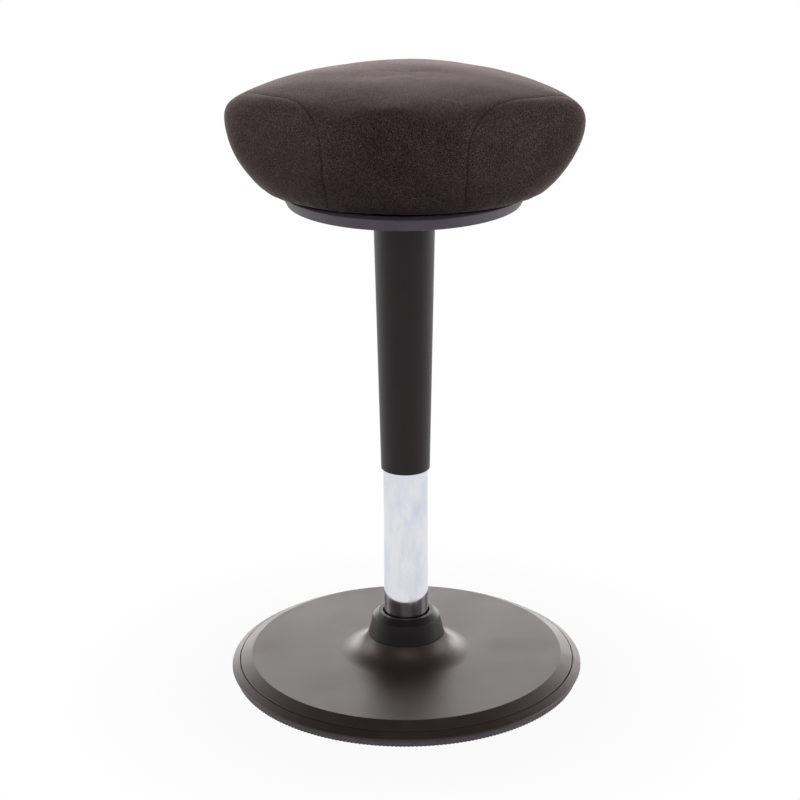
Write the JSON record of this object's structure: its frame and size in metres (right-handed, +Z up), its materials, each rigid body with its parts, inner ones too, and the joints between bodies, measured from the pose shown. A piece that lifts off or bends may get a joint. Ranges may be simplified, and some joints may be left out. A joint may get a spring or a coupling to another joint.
{
  "type": "wobble stool",
  "caption": "Wobble stool with a fabric saddle cushion, a gas-lift column in a tapered sleeve, a round release ring and a round foot with a domed rubber sole.",
  "frame": {"origin": "on the floor, on the axis of the column, at the middle of the sole's flat", "axes": "+Z up along the column, -Y to the sitter's front, X across the wide seat"},
  "size_m": [0.399, 0.399, 0.7059],
  "materials": {
    "sole_rubber": "matte",
    "zinc_steel": "satin",
    "black_plastic": "satin",
    "satin_black": "satin",
    "cast_ballast": "matte",
    "black_steel": "satin",
    "chromed_tube": "polished",
    "white_polymer": "satin",
    "bearing_steel": "polished",
    "seal_rubber": "matte",
    "cylinder_black": "gloss",
    "plywood": "matte",
    "foam": "matte",
    "seat_fabric": "matte",
    "grey_plastic": "satin"
  },
  "bodies": {
    "base": {"sole_pad": "sole_rubber", "sole_screws": "zinc_steel", "base_tray": "satin_black", "ballast_plate": "cast_ballast", "ballast_screws": "zinc_steel", "base_hub": "black_steel", "hub_bolts": "zinc_steel", "top_disc": "satin_black", "disc_screws": "zinc_steel", "column_boot": "black_plastic", "outer_tube": "chromed_tube", "guide_bush": "white_polymer", "lower_race": "bearing_steel"},
    "ball_race": {"ball_cage": "bearing_steel", "thrust_balls": "bearing_steel"},
    "rod": {"upper_race": "bearing_steel", "piston_rod": "bearing_steel", "piston": "bearing_steel", "piston_seal": "seal_rubber", "piston_nut": "zinc_steel", "bump_stop": "seal_rubber", "clip_washer": "zinc_steel", "retaining_clip": "zinc_steel"},
    "seat": {"gas_cylinder": "cylinder_black", "cylinder_gland": "white_polymer", "rod_seal": "seal_rubber", "tapered_cover": "black_plastic", "cover_screws": "zinc_steel", "seat_plate": "black_steel", "plate_bolts": "zinc_steel", "bolt_washers": "zinc_steel", "seat_board": "plywood", "board_nuts": "zinc_steel", "foam_core": "foam", "fabric_cover": "seat_fabric", "ring_pivot_pin": "zinc_steel", "hanger_screws": "zinc_steel", "lever_pin": "zinc_steel"},
    "ring": {"release_ring": "grey_plastic"},
    "lever": {"release_lever": "black_steel"},
    "valve": {"valve_pin": "bearing_steel"}
  },
  "joints": [
    {"name": "seat_swivel", "type": "hinge", "parent": "base", "child": "rod", "pos_m": [0, 0, 0.025], "axis": [0, 0, 1], "continuous": true},
    {"name": "race_spin", "type": "hinge", "parent": "base", "child": "ball_race", "pos_m": [0, 0, 0.022], "axis": [0, 0, 1], "continuous": true},
    {"name": "height_lift", "type": "slide", "parent": "rod", "child": "seat", "axis": [0, 0, 1], "range_m": [-0.126, 0.128]},
    {"name": "ring_tilt", "type": "hinge", "parent": "seat", "child": "ring", "pos_m": [0, 0.07997, 0.57525], "axis": [-1, 0, 0], "range_deg": [0, 0.5], "stiffness_Nm_per_rad": 20, "springref_deg": -2.86},
    {"name": "lever_rock", "type": "hinge", "parent": "seat", "child": "lever", "pos_m": [0, -0.028, 0.5743], "axis": [-1, 0, 0], "range_deg": [0, 2.8]},
    {"name": "valve_press", "type": "slide", "parent": "seat", "child": "valve", "axis": [0, 0, -1], "range_m": [0, 0.0015]}
  ],
  "couplings": [
    {"joint": "race_spin", "follows": "seat_swivel", "ratio": 0.5},
    {"joint": "lever_rock", "follows": "ring_tilt", "ratio": 5.5},
    {"joint": "valve_press", "follows": "ring_tilt", "m_per_rad": 0.1595}
  ]
}
